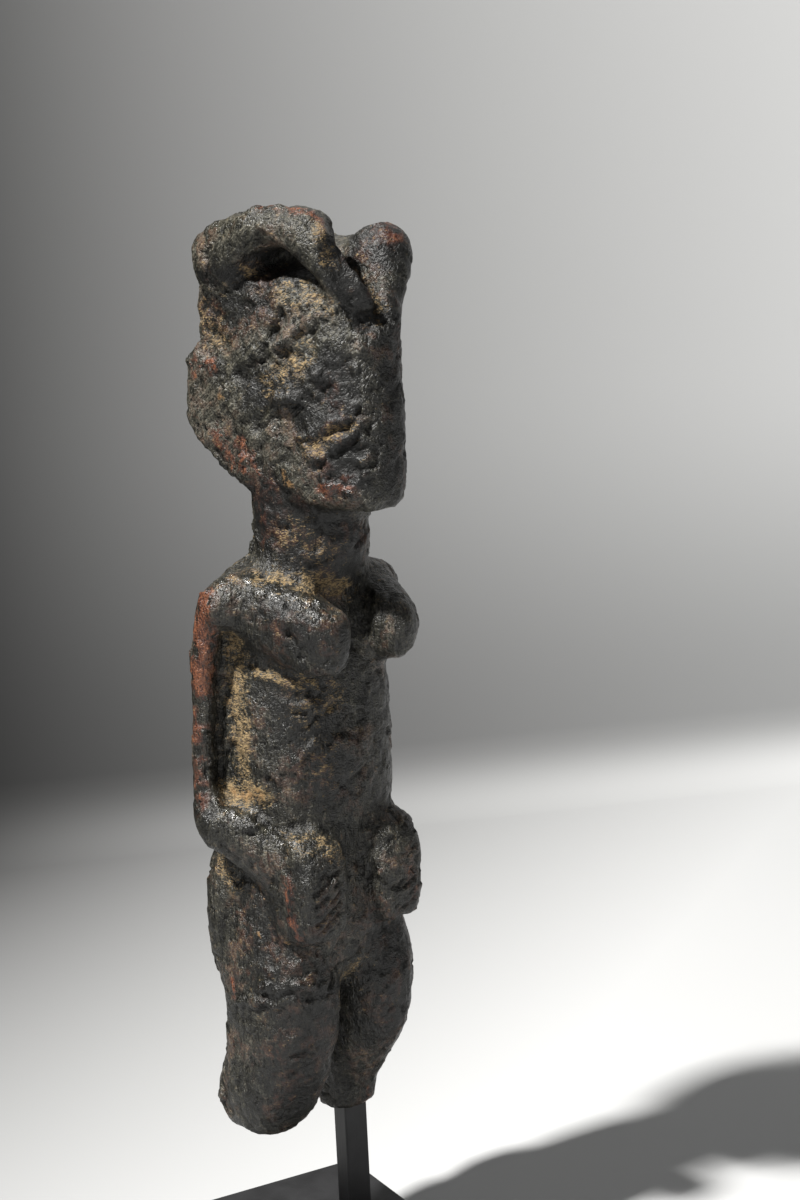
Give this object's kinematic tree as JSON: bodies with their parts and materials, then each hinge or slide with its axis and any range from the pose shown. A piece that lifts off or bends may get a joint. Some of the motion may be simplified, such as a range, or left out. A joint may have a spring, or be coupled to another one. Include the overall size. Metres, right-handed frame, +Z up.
{
  "type": "carved wooden standing figure",
  "caption": "Small weathered wooden standing woman with a long blunt head under a double crest, hands on the belly and legs broken at the calf, held up by a square rod on a flat plate.",
  "frame": {"origin": "middle of the plate's underside, on the surface that it stands on", "axes": "+Z up, -Y the way the figure faces, +X its own left side; the stand is turned 12.7 degrees about Z"},
  "size_m": [0.078, 0.1008, 0.2698],
  "materials": {
    "worn_wood": "dark crusted patina, satin on the ridges, bare red-brown wood where worn",
    "black_steel": "satin black"
  },
  "bodies": {
    "root": {"figure": "worn_wood", "stand_rod": "black_steel", "stand_plate": "black_steel"}
  },
  "joints": []
}
